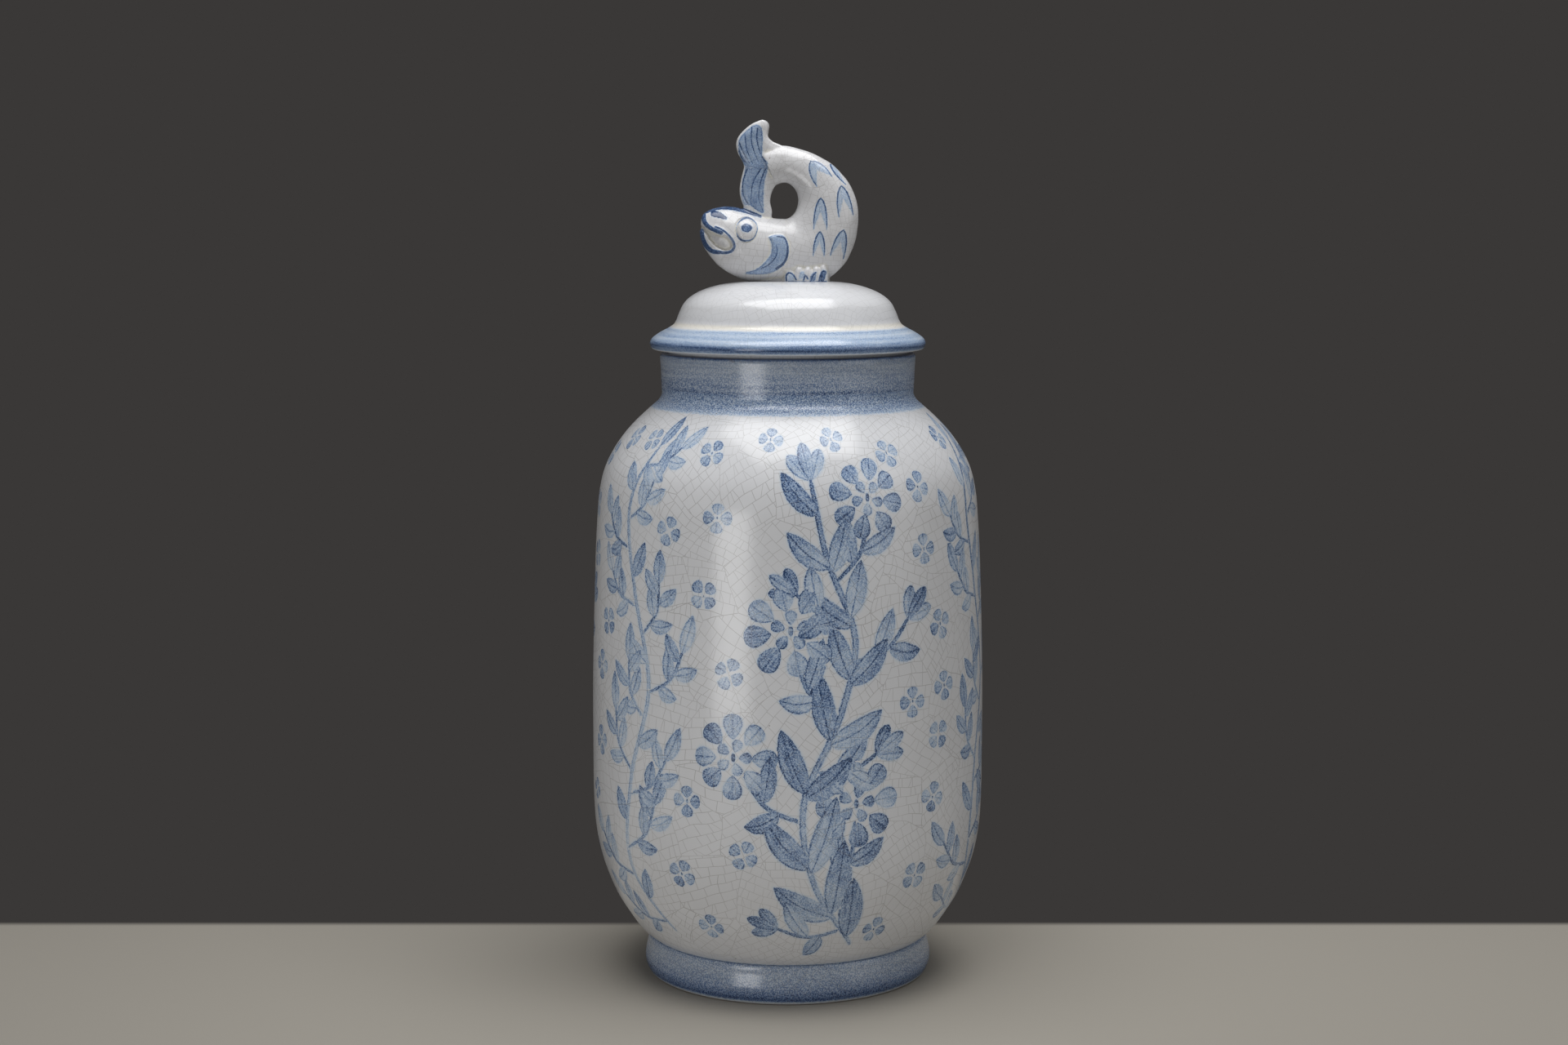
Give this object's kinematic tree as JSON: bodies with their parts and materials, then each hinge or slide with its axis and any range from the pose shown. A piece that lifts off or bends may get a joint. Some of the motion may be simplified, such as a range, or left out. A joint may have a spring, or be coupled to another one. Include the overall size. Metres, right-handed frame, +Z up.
{
  "type": "lidded vase",
  "caption": "Tall round earthenware jar on a foot ring, with a short neck and a domed lid whose knob is a curled fish that leaves a loop for a finger.",
  "frame": {"origin": "centre of the foot ring's resting face", "axes": "+Z up along the jar's axis; the fish knob lies in the XZ plane with its head towards -X; the pictured side faces -Y"},
  "size_m": [0.2114, 0.2114, 0.4604],
  "materials": {
    "white_glaze": "glossy tin glaze with a fine crackle",
    "blue_band_glaze": "glossy speckled blue banding over tin glaze",
    "blue_brush_glaze": "glossy blue brushwork over tin glaze"
  },
  "bodies": {
    "jar": {"foot_ring": "blue_band_glaze", "jar_body": "white_glaze", "neck_collar": "blue_band_glaze"},
    "lid": {"lid_cover": "white_glaze", "lid_flange": "white_glaze", "fish_body": "white_glaze", "tail_fin": "blue_brush_glaze", "gill_fin_left": "blue_brush_glaze", "gill_fin_right": "blue_brush_glaze", "eye_left": "white_glaze", "eye_right": "white_glaze", "belly_fin_left": "blue_brush_glaze", "belly_fin_right": "blue_brush_glaze"}
  },
  "joints": [
    {"name": "lid_lift", "type": "slide", "parent": "jar", "child": "lid", "axis": [0, 0, 1], "range_m": [0, 0.12]}
  ]
}
